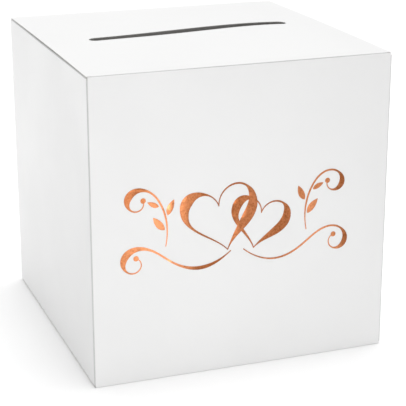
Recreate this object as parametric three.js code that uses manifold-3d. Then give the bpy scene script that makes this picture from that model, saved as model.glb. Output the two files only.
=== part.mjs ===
// A folding card box: a cube of white board, closed by a slotted lid and a base that both tuck in behind
// the front wall, with a foil ornament stamped on the front.
// Millimetres, +Z up. The origin is the middle of the footprint, the front faces -Y and +X is on the right.
import * as THREE from "three";
import { mergeVertices } from "three/addons/utils/BufferGeometryUtils.js";
import Module from "manifold-3d";

const wasm = await Module();
wasm.setup();

// Carton
const SIDE = 240; // outer width, depth and height
const BOARD = 0.6; // thickness of the board
const LAYER_GAP = 0.3; // clearance between two layers of board
const CREASE_SETBACK = 0.6; // from a crease's axis to the edge of the panel on either side of it
const EDGE_INSET = 0.4; // how far the side edges of the lid and base stay inside the box

// Envelope slot
const SLOT_LENGTH = 168;
const SLOT_WIDTH = 11;

// Tuck flaps
const TUCK_LENGTH = 28; // from crease to free edge
const TUCK_SIDE_CLEARANCE = 2.4; // to the inside of each side wall
const TUCK_CORNER = 14; // radius of the two free corners
const TUCK_TILT = THREE.MathUtils.degToRad(4); // inwards, so that the flap swings clear of the front wall

// Dust flaps
const DUST_LENGTH = 31; // from crease to free edge, short of the slot
const DUST_FRONT_SETBACK = 1.7; // at the shoulder, beside the tuck flap
const DUST_SHOULDER = 2.4; // width of the shoulder, which ends beside the tuck flap
const DUST_RELIEF = 6; // front edge behind the shoulder, clear of the tuck flap's fold
const DUST_FRONT_SLOPE = 0.22; // the front edge leans back by this much for each millimetre
const DUST_BACK_SETBACK = 2.8; // where the 45 degree back edge starts
const DUST_CORNER = 5;

// Glued seam
const GLUE_FLAP_LENGTH = 20;
const GLUE_FLAP_END = 5; // clearance to the lid and the base at the crease
const GLUE_FLAP_TAPER = 10; // how much shorter each end is at the free edge
const ADHESIVE_LENGTH = 206;
const ADHESIVE_WIDTH = 9;
const ADHESIVE_THICKNESS = 0.2;

// Foil ornament, drawn as a broad pen draws: heavy where the pen comes down, fine where it goes up
const FOIL_THICKNESS = 0.1;
const FOIL_GAP = 0.02; // between the board and the back of the foil
const FOIL_CENTRE = new THREE.Vector2(-5.5, 118.7); // on the front wall, x and z
const PEN_HAIRLINE = 1.5;
const PEN_POINT = 0.8; // width at the very end of a stroke
const HEAVIEST_HEADING = THREE.MathUtils.degToRad(235); // down and to the left
const BLOT_RADIUS = 2.1; // of the round spot in which a scroll ends
const PEN_BALANCE = 1.5; // how quickly the swell fades as the pen turns away from its heaviest heading
const HEART_TAPER = 0.36; // share of a stroke over which its swell grows and fades
const HEART_SEGMENTS = 32;
// The right half of a heart of size 1: its lobe and then its flank, each with two handles
const HEART_LOBE = { start: [0, 0.34], handles: [[0.1, 0.98], [1.04, 1.04]], end: [1.02, 0.3] };
const HEART_FLANK = { start: [1.02, 0.3], handles: [[1, -0.22], [0.3, -0.5]], end: [0, -1] };
const SCROLL_SWELL = 4.2;
const SCROLL_TAPER = 0.3;
const SCROLL_SEGMENTS = 120;
const LEAF_LEAN = THREE.MathUtils.degToRad(38);
const LEAF_STANDOFF = 1.9; // from the middle of the stem
// A leaf of length 1, along its own x: the back of the leaf to its tip, and its belly back to the stem
const LEAF_BACK = [[0.2, 0.3], [0.62, 0.3], [1, 0.02]];
const LEAF_BELLY = [[0.66, -0.2], [0.22, -0.22], [0, 0]];
const HEARTS = [
  { centre: new THREE.Vector2(-13, 6), size: 27, tilt: 0.2, swell: 7.4 },
  { centre: new THREE.Vector2(18, -1), size: 21, tilt: -0.22, swell: 6 },
];
// The scrolls right of the hearts: where they start, their heading in degrees, and how they bend, as
// [distance, curvature] pairs. Those on the left are their mirror image.
const LONG_SCROLL = {
  start: [5, -21.5],
  heading: -40,
  bends: [[0, 0.014], [29, 0.035], [53, 0.015], [68, -0.024], [86, -0.074], [129, -0.19]],
};
const SPRAY = {
  start: [57, -12],
  heading: 102,
  bends: [[0, -0.016], [36, -0.024], [50, -0.068], [93, -0.19]],
};
const LEAVES = [
  { at: 0.14, hand: -1, length: 14 },
  { at: 0.26, hand: 1, length: 13 },
  { at: 0.36, hand: -1, length: 10 },
];

// Worked out from the sizes above
const HALF = SIDE / 2;
const WALL_MID = HALF - BOARD / 2; // mid-plane of a wall, from the centre
const PITCH = BOARD + LAYER_GAP; // from one layer's mid-plane to the next one's
const PANEL_END = WALL_MID - CREASE_SETBACK; // edge of a panel that meets a corner crease
const TUCK_AXIS_Y = -(WALL_MID - PITCH);
const SEAM_MID = WALL_MID - PITCH; // mid-plane of the glue flap
const LID_MID_Z = SIDE - BOARD / 2;
const BASE_MID_Z = BOARD / 2;
const QUARTER_TURN = Math.PI / 2;

const WHITE_BOARD = { color: 0xf4f4f3, roughness: 0.62, metalness: 0 };
const INSIDE_BOARD = { color: 0xeceae6, roughness: 0.85, metalness: 0 };
const ADHESIVE = { color: 0xe6dcc0, roughness: 0.4, metalness: 0 };
const ROSE_FOIL = { color: 0xc97f55, roughness: 0.3, metalness: 0.9 };

/** A named mesh with a material of its own. */
function part(name, geometry, finish) {
  const mesh = new THREE.Mesh(geometry, new THREE.MeshStandardMaterial(finish));
  mesh.name = name;
  return mesh;
}

/** A flat sheet of the given outline, with its mid-plane at z = 0. */
function sheet(outline, thickness) {
  const geometry = new THREE.ExtrudeGeometry(outline, { depth: thickness, bevelEnabled: false });
  return geometry.translate(0, 0, -thickness / 2);
}

function rectangle(left, bottom, right, top) {
  return new THREE.Shape([
    new THREE.Vector2(left, bottom),
    new THREE.Vector2(right, bottom),
    new THREE.Vector2(right, top),
    new THREE.Vector2(left, top),
  ]);
}

/** A rectangle with two round ends, centred on (0, 0) and running along x. */
function capsule(length, width, path = new THREE.Shape()) {
  const radius = width / 2;
  const straight = length / 2 - radius;
  path.moveTo(-straight, -radius);
  path.lineTo(straight, -radius);
  path.absarc(straight, 0, radius, -QUARTER_TURN, QUARTER_TURN, false);
  path.lineTo(-straight, radius);
  path.absarc(-straight, 0, radius, QUARTER_TURN, 3 * QUARTER_TURN, false);
  return path;
}

/** An upright wall whose outline's x runs to the right as seen from outside, turned about Z to its side. */
function wall(name, turn, outline) {
  const mesh = part(name, sheet(outline, BOARD), WHITE_BOARD);
  mesh.rotation.x = QUARTER_TURN;
  mesh.position.y = -WALL_MID;
  const side = new THREE.Group();
  side.rotation.z = turn;
  side.add(mesh);
  return side;
}

function walls() {
  const dustCrease = PITCH + CREASE_SETBACK; // side walls stop below the dust flaps' creases
  const sideBottom = BASE_MID_Z + dustCrease;
  const sideTop = LID_MID_Z - dustCrease;
  const seamEnd = SEAM_MID - CREASE_SETBACK;
  const backRawEdge = HALF - EDGE_INSET / 2;
  const backBottom = BASE_MID_Z + CREASE_SETBACK;
  const backTop = LID_MID_Z - CREASE_SETBACK;
  return [
    wall("front_wall", 0, rectangle(-PANEL_END, 0, PANEL_END, LID_MID_Z)),
    wall("left_wall", -QUARTER_TURN, rectangle(-PANEL_END, sideBottom, PANEL_END, sideTop)),
    wall("right_wall", QUARTER_TURN, rectangle(-PANEL_END, sideBottom, seamEnd, sideTop)),
    wall("back_wall", 2 * QUARTER_TURN, rectangle(-backRawEdge, backBottom, PANEL_END, backTop)),
  ];
}

/** The flap on the right wall's back edge, folded in behind the back wall, and the adhesive that holds it. */
function gluedSeam() {
  const free = WALL_MID - GLUE_FLAP_LENGTH;
  const outline = new THREE.Shape([
    new THREE.Vector2(-PANEL_END, GLUE_FLAP_END),
    new THREE.Vector2(-free, GLUE_FLAP_END + GLUE_FLAP_TAPER),
    new THREE.Vector2(-free, SIDE - GLUE_FLAP_END - GLUE_FLAP_TAPER),
    new THREE.Vector2(-PANEL_END, SIDE - GLUE_FLAP_END),
  ]);
  const flap = part("glue_flap", sheet(outline, BOARD), INSIDE_BOARD);
  flap.rotation.x = QUARTER_TURN;
  flap.position.y = -SEAM_MID;

  const strip = capsule(ADHESIVE_LENGTH, ADHESIVE_WIDTH);
  const adhesive = part("seam_adhesive", sheet(strip, ADHESIVE_THICKNESS), ADHESIVE);
  adhesive.geometry.rotateZ(QUARTER_TURN);
  adhesive.rotation.x = QUARTER_TURN;
  adhesive.position.set(-(PANEL_END + free) / 2, -(SEAM_MID + PITCH / 2), SIDE / 2);

  const back = new THREE.Group();
  back.rotation.z = 2 * QUARTER_TURN;
  back.add(flap, adhesive);
  return back;
}

/** The lid or base panel, from its crease on the back wall to its crease at the front. */
function closurePanel(name, midZ, slotted) {
  const edge = HALF - EDGE_INSET;
  const outline = rectangle(-edge, TUCK_AXIS_Y + CREASE_SETBACK, edge, PANEL_END);
  if (slotted) outline.holes.push(capsule(SLOT_LENGTH, SLOT_WIDTH, new THREE.Path()));
  const mesh = part(name, sheet(outline, BOARD), WHITE_BOARD);
  mesh.position.z = midZ;
  return mesh;
}

/** A tuck flap, which hangs from its crease when facing is 1 and stands on it when facing is -1. */
function tuckFlap(name, midZ, facing) {
  const halfWidth = HALF - BOARD - TUCK_SIDE_CLEARANCE;
  const arcX = halfWidth - TUCK_CORNER;
  const arcY = -(TUCK_LENGTH - TUCK_CORNER);
  const outline = new THREE.Shape();
  outline.moveTo(-halfWidth, -CREASE_SETBACK);
  outline.lineTo(-halfWidth, arcY);
  outline.absarc(-arcX, arcY, TUCK_CORNER, Math.PI, 3 * QUARTER_TURN, false);
  outline.lineTo(arcX, -TUCK_LENGTH);
  outline.absarc(arcX, arcY, TUCK_CORNER, -QUARTER_TURN, 0, false);
  outline.lineTo(halfWidth, -CREASE_SETBACK);
  const mesh = part(name, sheet(outline, BOARD), WHITE_BOARD);
  mesh.rotation.x = facing * (QUARTER_TURN + TUCK_TILT);
  mesh.position.set(0, TUCK_AXIS_Y, midZ);
  return mesh;
}

/** A dust flap, lying inwards from its crease on the left wall (side -1) or the right wall (side 1). */
function dustFlap(name, midZ, side) {
  const at = (reach, y) => new THREE.Vector2(side * (WALL_MID - reach), y);
  const shoulderY = -(HALF - DUST_FRONT_SETBACK);
  const reliefY = -(HALF - DUST_RELIEF);
  const tipFrontY = reliefY + DUST_FRONT_SLOPE * (DUST_LENGTH - DUST_SHOULDER);
  const backStart = WALL_MID - DUST_BACK_SETBACK;
  const tipBackY = backStart - (DUST_LENGTH - CREASE_SETBACK);
  const tipFront = at(DUST_LENGTH, tipFrontY);
  const tipBack = at(DUST_LENGTH, tipBackY);
  const beforeFront = at(DUST_LENGTH - DUST_CORNER, tipFrontY - DUST_FRONT_SLOPE * DUST_CORNER);
  const beforeBack = at(DUST_LENGTH - DUST_CORNER, tipBackY + DUST_CORNER);
  const outline = new THREE.Shape();
  outline.moveTo(...at(CREASE_SETBACK, shoulderY));
  outline.lineTo(...at(DUST_SHOULDER - CREASE_SETBACK, shoulderY));
  outline.lineTo(...at(DUST_SHOULDER, reliefY));
  outline.lineTo(...beforeFront);
  outline.quadraticCurveTo(...tipFront, ...at(DUST_LENGTH, tipFrontY + DUST_CORNER));
  outline.lineTo(...at(DUST_LENGTH, tipBackY - DUST_CORNER));
  outline.quadraticCurveTo(...tipBack, ...beforeBack);
  outline.lineTo(...at(CREASE_SETBACK, backStart));
  const mesh = part(name, sheet(outline, BOARD), INSIDE_BOARD);
  mesh.position.z = midZ;
  return mesh;
}

/** The panel, tuck flap and two dust flaps that close one end of the box. */
function closure(end, midZ, facing) {
  const dustZ = midZ - facing * PITCH;
  return [
    closurePanel(`${end}_panel`, midZ, end === "lid"),
    tuckFlap(`${end}_tuck_flap`, midZ, facing),
    dustFlap(`${end}_dust_flap_left`, dustZ, -1),
    dustFlap(`${end}_dust_flap_right`, dustZ, 1),
  ];
}

/** A place on a pen stroke: its point and the direction in which the pen travels, as an angle. */
const station = (x, y, heading) => ({ x, y, heading });

/** The outline of a pen stroke through its stations. Swell is the width that full pressure adds. */
function strokeOutline(stations, swell, taper) {
  const near = [];
  const far = [];
  stations.forEach(({ x, y, heading }, i) => {
    const t = i / (stations.length - 1);
    const ends = THREE.MathUtils.smoothstep(Math.min(t, 1 - t), 0, taper);
    const pressure = Math.max(0, Math.cos(heading - HEAVIEST_HEADING)) ** PEN_BALANCE;
    const half = (PEN_POINT + (PEN_HAIRLINE - PEN_POINT + swell * pressure) * ends) / 2;
    near.push(new THREE.Vector2(x - Math.sin(heading) * half, y + Math.cos(heading) * half));
    far.push(new THREE.Vector2(x + Math.sin(heading) * half, y - Math.cos(heading) * half));
  });
  return new THREE.Shape([...near, ...far.reverse()]);
}

/**
 * The stations of a curve that starts at a point with a heading. Its bends are [distance, curvature]
 * pairs, and the curvature runs evenly from each to the next. Side -1 mirrors the curve in x.
 */
function scrollStations({ start: [x0, y0], heading: heading0, bends }, side) {
  const length = bends.at(-1)[0];
  const step = length / SCROLL_SEGMENTS;
  const curvatureAt = (s) => {
    const next = Math.max(1, bends.findIndex(([distance]) => distance >= s));
    const [[d0, c0], [d1, c1]] = [bends[next - 1], bends[next]];
    return THREE.MathUtils.mapLinear(s, d0, d1, c0, c1);
  };
  let [x, y, heading] = [x0, y0, THREE.MathUtils.degToRad(heading0)];
  const stations = [];
  for (let i = 0; i <= SCROLL_SEGMENTS; i++) {
    stations.push(side > 0 ? station(x, y, heading) : station(-x, y, Math.PI - heading));
    const turn = curvatureAt((i + 0.5) * step) * step;
    x += Math.cos(heading + turn / 2) * step;
    y += Math.sin(heading + turn / 2) * step;
    heading += turn;
  }
  return stations;
}

function solidOf(geometry) {
  const bare = geometry.clone();
  bare.deleteAttribute("normal");
  bare.deleteAttribute("uv");
  const merged = mergeVertices(bare, 1e-4);
  return new wasm.Manifold(
    new wasm.Mesh({
      numProp: 3,
      vertProperties: merged.attributes.position.array,
      triVerts: new Uint32Array(merged.index.array),
    }),
  );
}

/** One sheet of foil in the shape of all the outlines together. */
function foilSheet(outlines) {
  const joined = outlines
    .map((outline) => solidOf(sheet(outline, FOIL_THICKNESS)))
    .reduce((all, next) => all.add(next));
  const { vertProperties, triVerts } = joined.getMesh();
  const geometry = new THREE.BufferGeometry();
  geometry.setAttribute("position", new THREE.BufferAttribute(vertProperties, 3));
  geometry.setIndex(new THREE.BufferAttribute(triVerts, 1));
  geometry.computeVertexNormals();
  return geometry;
}

/** A round spot of foil. */
function blot(x, y, radius) {
  const outline = new THREE.Shape();
  outline.absarc(x, y, radius, 0, 2 * Math.PI, false);
  return outline;
}

/** The two pen strokes of a heart, which both start in the cleft and end at the tip. */
function heartOutlines({ centre, size, tilt, swell }) {
  const place = ([x, y], side = 1) =>
    new THREE.Vector2(side * x * size, y * size).rotateAround(new THREE.Vector2(), tilt).add(centre);
  const halves = [-1, 1].map((side) => {
    const [lobe, flank] = [HEART_LOBE, HEART_FLANK].map(({ start, handles, end }) => {
      const points = [start, ...handles, end].map((point) => place(point, side));
      return new THREE.CubicBezierCurve(...points);
    });
    const stations = [lobe, flank].flatMap((curve) =>
      Array.from({ length: HEART_SEGMENTS }, (_, i) => {
        const point = curve.getPointAt(i / HEART_SEGMENTS);
        return station(point.x, point.y, curve.getTangentAt(i / HEART_SEGMENTS).angle());
      }),
    );
    stations.push(station(flank.v3.x, flank.v3.y, flank.getTangentAt(1).angle()));
    return strokeOutline(stations, swell, HEART_TAPER);
  });
  const [cleft, tip] = [place(HEART_LOBE.start), place(HEART_FLANK.end)];
  return [...halves, blot(cleft.x, cleft.y, PEN_POINT / 2), blot(tip.x, tip.y, PEN_POINT / 2)];
}

/** A pointed leaf beside a station of a stem, leaning forwards from it on the left (1) or the right (-1). */
function leafOutline({ x, y, heading }, hand, length) {
  const lean = heading + hand * LEAF_LEAN;
  const stemX = x - hand * Math.sin(heading) * LEAF_STANDOFF;
  const stemY = y + hand * Math.cos(heading) * LEAF_STANDOFF;
  const place = ([along, across]) => [
    stemX + length * (along * Math.cos(lean) - across * Math.sin(lean)),
    stemY + length * (along * Math.sin(lean) + across * Math.cos(lean)),
  ];
  const outline = new THREE.Shape();
  outline.moveTo(...place(LEAF_BELLY.at(-1)));
  outline.bezierCurveTo(...LEAF_BACK.flatMap(place));
  outline.bezierCurveTo(...LEAF_BELLY.flatMap(place));
  return outline;
}

function foilOrnament() {
  const place = (name, outlines) => {
    const mesh = part(name, foilSheet(outlines), ROSE_FOIL);
    mesh.rotation.x = QUARTER_TURN;
    mesh.position.set(FOIL_CENTRE.x, -(HALF + FOIL_GAP + FOIL_THICKNESS / 2), FOIL_CENTRE.y);
    return mesh;
  };
  const scroll = (name, shape, side) => {
    const stations = scrollStations(shape, side);
    const end = stations.at(-1);
    const line = strokeOutline(stations, SCROLL_SWELL, SCROLL_TAPER);
    return place(name, [line, blot(end.x, end.y, BLOT_RADIUS)]);
  };
  const meshes = [place("foil_hearts", HEARTS.flatMap(heartOutlines))];
  for (const [side, word] of [[-1, "left"], [1, "right"]]) {
    const stem = scrollStations(SPRAY, side);
    meshes.push(scroll(`foil_scroll_${word}`, LONG_SCROLL, side), scroll(`foil_spray_${word}`, SPRAY, side));
    LEAVES.forEach(({ at, hand, length }, i) => {
      const leaf = leafOutline(stem[Math.round(at * SCROLL_SEGMENTS)], side * hand, length);
      meshes.push(place(`foil_leaf_${word}_${i + 1}`, [leaf]));
    });
  }
  return meshes;
}

const cardBox = new THREE.Group();
cardBox.add(
  ...walls(),
  gluedSeam(),
  ...closure("lid", LID_MID_Z, 1),
  ...closure("base", BASE_MID_Z, -1),
  ...foilOrnament(),
);

export default cardBox;
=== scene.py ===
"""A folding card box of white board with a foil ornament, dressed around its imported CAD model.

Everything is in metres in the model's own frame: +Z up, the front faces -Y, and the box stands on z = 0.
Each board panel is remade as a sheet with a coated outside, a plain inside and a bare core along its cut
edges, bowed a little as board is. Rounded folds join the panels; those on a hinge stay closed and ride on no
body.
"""

import logging
import math
from collections.abc import Callable, Iterable, Iterator
from contextlib import contextmanager
from dataclasses import dataclass, field
from enum import Enum

import bmesh
import bpy
from mathutils import Matrix, Vector


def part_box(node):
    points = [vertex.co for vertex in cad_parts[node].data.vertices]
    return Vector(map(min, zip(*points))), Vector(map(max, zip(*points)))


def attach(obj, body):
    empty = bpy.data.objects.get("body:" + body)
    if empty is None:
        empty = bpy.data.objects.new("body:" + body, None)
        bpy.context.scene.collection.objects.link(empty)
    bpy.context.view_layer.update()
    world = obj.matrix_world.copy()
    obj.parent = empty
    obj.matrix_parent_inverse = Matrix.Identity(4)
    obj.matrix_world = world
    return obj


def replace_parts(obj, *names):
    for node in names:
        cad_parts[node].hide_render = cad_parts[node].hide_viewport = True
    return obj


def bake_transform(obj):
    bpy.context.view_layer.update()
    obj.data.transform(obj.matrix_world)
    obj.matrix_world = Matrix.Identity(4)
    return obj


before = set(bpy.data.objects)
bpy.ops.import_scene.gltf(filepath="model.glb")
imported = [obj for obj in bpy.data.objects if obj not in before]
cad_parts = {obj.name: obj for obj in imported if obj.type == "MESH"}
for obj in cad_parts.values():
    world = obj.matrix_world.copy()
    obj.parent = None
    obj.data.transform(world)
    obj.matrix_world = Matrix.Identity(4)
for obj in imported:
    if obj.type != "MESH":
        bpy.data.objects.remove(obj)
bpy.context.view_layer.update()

log = logging.getLogger("card_box")

MM = 0.001
SLACK = 0.1 * MM  # how near to a limit a place still counts as on it
WELD = 0.002 * MM  # corners of a mesh that are nearer than this are one
SHARP_CUT = math.radians(60.0)  # edges that turn more than this come from a cut
FLAT_JOIN = math.radians(0.5)  # faces that turn less than this are one
GRID_START = 0.37  # in cells, so that no cutting plane falls on a corner of an outline
ON_PLANE = 1e-7  # how near a corner is when a cutting plane runs through it
NOISE_LOW, NOISE_HIGH = 0.3, 0.7  # where nearly all the values of a noise pattern lie
WHITE = (1.0, 1.0, 1.0, 1.0)
Value = float | int | bool | tuple | bpy.types.NodeSocket | bpy.types.Material


class TreeKind(Enum):
    """The kinds of node tree that the box uses."""

    GEOMETRY = "GeometryNodeTree"
    SHADER = "ShaderNodeTree"


class SocketKind(Enum):
    """The kinds of input and output that the trees have."""

    FLOAT = "NodeSocketFloat"
    INT = "NodeSocketInt"
    VECTOR = "NodeSocketVector"
    COLOUR = "NodeSocketColor"
    MATERIAL = "NodeSocketMaterial"
    GEOMETRY = "NodeSocketGeometry"


class Layer(Enum):
    """The parts of a board's thickness that show, as the material slots of a sheet."""

    COATED = 0
    PLAIN = 1
    CORE = 2


class Board:
    """The driving sizes: the box's half side, and the board and its creases.

    Setback is how far a flat panel stops short of the square corner that a fold rounds off, and depth is how
    far the fold's centre lies inside the face of the box. Crease is how far that centre lies from the middle
    of the box, and one_in is the same for a fold that lies one layer further in.
    """

    half_side = 120 * MM
    thickness = 0.6 * MM
    setback = 0.6 * MM
    depth = setback + thickness / 2
    crease = half_side - depth
    one_in = crease - depth


# ---------------------------------------------------------------------------------------------- trees


class Tree:
    """A node tree under construction."""

    def __init__(self, tree: bpy.types.NodeTree) -> None:
        """Starts on a tree that may hold nodes already."""
        self.tree = tree
        self.entry: bpy.types.Node | None = None

    @classmethod
    def group(cls, name: str, kind: TreeKind) -> "Tree":
        """A new, empty node group.

        Args:
            name: What the group is called.
            kind: Whether it makes meshes or finishes.

        Returns:
            The group's tree, ready for inputs and nodes.
        """
        made = cls(bpy.data.node_groups.new(name, kind.value))
        made.entry = made.tree.nodes.new("NodeGroupInput")
        return made

    def takes(self, name: str, kind: SocketKind, default: Value | None = None) -> bpy.types.NodeSocket:
        """Adds a named input to the group.

        Args:
            name: What the input is called.
            kind: What it carries.
            default: Its value where nothing is set.

        Returns:
            The socket that gives its value inside the group.
        """
        made = self.tree.interface.new_socket(name, in_out="INPUT", socket_type=kind.value)
        if default is not None:
            made.default_value = default
        return self.entry.outputs[name]

    def gives(self, **results: bpy.types.NodeSocket) -> None:
        """Adds named outputs to the group.

        Args:
            **results: The socket that feeds each output. An underscore in its name stands for a space.
        """
        kinds = {"VALUE": SocketKind.FLOAT, "RGBA": SocketKind.COLOUR, "GEOMETRY": SocketKind.GEOMETRY}
        exit_node = self.tree.nodes.new("NodeGroupOutput")
        for key, socket in results.items():
            name = key.replace("_", " ")
            self.tree.interface.new_socket(name, in_out="OUTPUT", socket_type=kinds[socket.type].value)
            self.tree.links.new(socket, exit_node.inputs[name])

    def add(self, kind: str, inputs: dict | None = None, **settings: object) -> bpy.types.Node:
        """Adds a node.

        Args:
            kind: The node's type name.
            inputs: For each input, by name or number, a value or the socket that feeds it.
            **settings: The node's own properties.

        Returns:
            The node.
        """
        node = self.tree.nodes.new(kind)
        for key, value in settings.items():
            setattr(node, key, value)
        for key, value in (inputs or {}).items():
            self.feed(node.inputs[key], value)
        return node

    def feed(self, socket: bpy.types.NodeSocket, value: Value) -> None:
        """Links a socket to another, or sets its value.

        Args:
            socket: The input to feed.
            value: The socket that it is linked to, or its own value.
        """
        if isinstance(value, bpy.types.NodeSocket):
            self.tree.links.new(value, socket)
        else:
            socket.default_value = value

    def math(self, operation: str, *values: Value) -> bpy.types.NodeSocket:
        """The result of a math node with these values."""
        node = self.add("ShaderNodeMath", dict(enumerate(values)), operation=operation)
        return node.outputs[0]

    def vector(self, operation: str, *values: Value) -> bpy.types.NodeSocket:
        """The result of a vector math node with these values."""
        node = self.add("ShaderNodeVectorMath", dict(enumerate(values)), operation=operation)
        return node.outputs[0]

    def ramp(
        self, value: Value, low: float, high: float, to_low: float, to_high: float
    ) -> bpy.types.NodeSocket:
        """A value carried smoothly from one range to another, and held at its ends.

        Args:
            value: The value to carry.
            low: Where its range starts.
            high: Where its range ends.
            to_low: What the start becomes.
            to_high: What the end becomes.

        Returns:
            The socket with the carried value.
        """
        node = self.add(
            "ShaderNodeMapRange",
            {"Value": value, "From Min": low, "From Max": high, "To Min": to_low, "To Max": to_high},
            interpolation_type="SMOOTHSTEP",
        )
        return node.outputs[0]

    def noise(
        self, place: Value, scale: Value, detail: float = 3.0, rough: float = 0.5
    ) -> bpy.types.NodeSocket:
        """The grey value of a noise pattern."""
        inputs = {"Vector": place, "Scale": scale, "Detail": detail, "Roughness": rough}
        return self.add("ShaderNodeTexNoise", inputs).outputs[0]

    def mix(self, share: Value, first: Value, second: Value) -> bpy.types.NodeSocket:
        """A colour between two others.

        Args:
            share: How much of the second colour is in it, from 0 to 1.
            first: One colour.
            second: The other colour.

        Returns:
            The socket with the colour.
        """
        node = self.add("ShaderNodeMix", data_type="RGBA")
        colours = [s for s in node.inputs if s.type == "RGBA"]
        self.feed(node.inputs[0], share)
        self.feed(colours[0], first)
        self.feed(colours[1], second)
        return next(s for s in node.outputs if s.type == "RGBA")


# ------------------------------------------------------------------------------------------- finishes


class Patterns:
    """The shader groups that the finishes share, each built once."""

    fibre_stretch = (1.0, 0.35, 1.0)
    pit_share = 0.35
    break_range = (0.4, 0.62)
    break_least = 0.5
    streak_turn = (0.0, math.radians(-32.0), 0.0)
    streak_stretch = (1.0, 1.0, 0.3)
    sheen_range = (0.34, 0.66)
    peel_share = 0.3

    def __init__(self) -> None:
        """Builds the groups."""
        self.grain = self.paper_grain()
        self.wear_and_shade = self.edge_wear_and_shade()
        self.foil = self.foil_painted_sheen()

    def paper_grain(self) -> bpy.types.NodeTree:
        """The fibres and clouds of board.

        Returns:
            A group that gives fibres and coating pits as a height, and cloudy tone as a value.
        """
        group = Tree.group("Paper grain", TreeKind.SHADER)
        place = group.takes("Vector", SocketKind.VECTOR)
        fibre_scale = group.takes("Fibre Scale", SocketKind.FLOAT, 900.0)
        cloud_scale = group.takes("Cloud Scale", SocketKind.FLOAT, 14.0)
        long_fibres = group.vector("MULTIPLY", place, self.fibre_stretch)
        fibres = group.noise(long_fibres, fibre_scale, 5.0, 0.62)
        pits = group.add("ShaderNodeTexVoronoi", {"Vector": place, "Scale": fibre_scale}).outputs["Distance"]
        height = group.math("MULTIPLY_ADD", pits, self.pit_share, fibres)
        group.gives(Height=height, Cloud=group.noise(place, cloud_scale, 3.0, 0.55))
        return group.tree

    def edge_wear_and_shade(self) -> bpy.types.NodeTree:
        """Where a box that stands on z = 0 wears along its edges, and where its folds take painted shade.

        Returns:
            A group that gives a broken mask along the box's twelve edges.
        """
        group = Tree.group("Rubbed edges", TreeKind.SHADER)
        place = group.takes("Vector", SocketKind.VECTOR)
        half = group.takes("Half Side", SocketKind.FLOAT, Board.half_side)
        width = group.takes("Width", SocketKind.FLOAT, 2 * MM)
        breaks = group.takes("Break Scale", SocketKind.FLOAT, 45.0)
        up = group.add("ShaderNodeCombineXYZ", {"Z": half}).outputs[0]
        centred = group.vector("ABSOLUTE", group.vector("SUBTRACT", place, up))
        parts = group.add("ShaderNodeSeparateXYZ", {0: centred}).outputs
        start = group.math("SUBTRACT", half, width)
        near = [
            group.add("ShaderNodeMapRange", {"Value": part, "From Min": start, "From Max": half}).outputs[0]
            for part in parts
        ]
        pairs = [group.math("MULTIPLY", near[i], near[(i + 1) % 3]) for i in range(3)]
        edge = group.math("MAXIMUM", group.math("MAXIMUM", pairs[0], pairs[1]), pairs[2])
        broken = group.ramp(group.noise(place, breaks, 4.0, 0.6), *self.break_range, self.break_least, 1.0)
        group.gives(Mask=group.math("MULTIPLY", edge, broken))
        return group.tree

    def foil_painted_sheen(self) -> bpy.types.NodeTree:
        """Painted sheen and real grit for hot-stamped foil.

        Returns:
            A group that gives slanted bands of painted sheen and a fine speckle of tone as values, and orange
            peel as a height.
        """
        group = Tree.group("Foil streaks", TreeKind.SHADER)
        place = group.takes("Vector", SocketKind.VECTOR)
        sheen_scale = group.takes("Drift Scale", SocketKind.FLOAT, 16.0)
        speckle_scale = group.takes("Speckle Scale", SocketKind.FLOAT, 700.0)
        slanted = group.add(
            "ShaderNodeMapping",
            {"Vector": place, "Rotation": self.streak_turn, "Scale": self.streak_stretch},
        ).outputs[0]
        painted_sheen = group.ramp(group.noise(slanted, sheen_scale, 2.0, 0.45), *self.sheen_range, 0.0, 1.0)
        speckle = group.noise(place, speckle_scale, 2.0, 0.5)
        peel = group.noise(place, group.math("MULTIPLY", speckle_scale, self.peel_share), 3.0, 0.5)
        group.gives(Drift=painted_sheen, Speckle=speckle, Height=peel)
        return group.tree


class Finish:
    """What the finishes have in common: a material with one Principled shader."""

    name: str

    def start(self) -> tuple[bpy.types.Material, Tree, bpy.types.Node, bpy.types.NodeSocket]:
        """Starts the finish's material.

        Returns:
            The material, its tree, its Principled shader and the piece's Object coordinates.
        """
        material = bpy.data.materials.new(self.name)
        material.use_nodes = True
        tree = Tree(material.node_tree)
        shader = next(n for n in tree.tree.nodes if n.type == "BSDF_PRINCIPLED")
        place = tree.add("ShaderNodeTexCoord").outputs["Object"]
        return material, tree, shader, place


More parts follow.
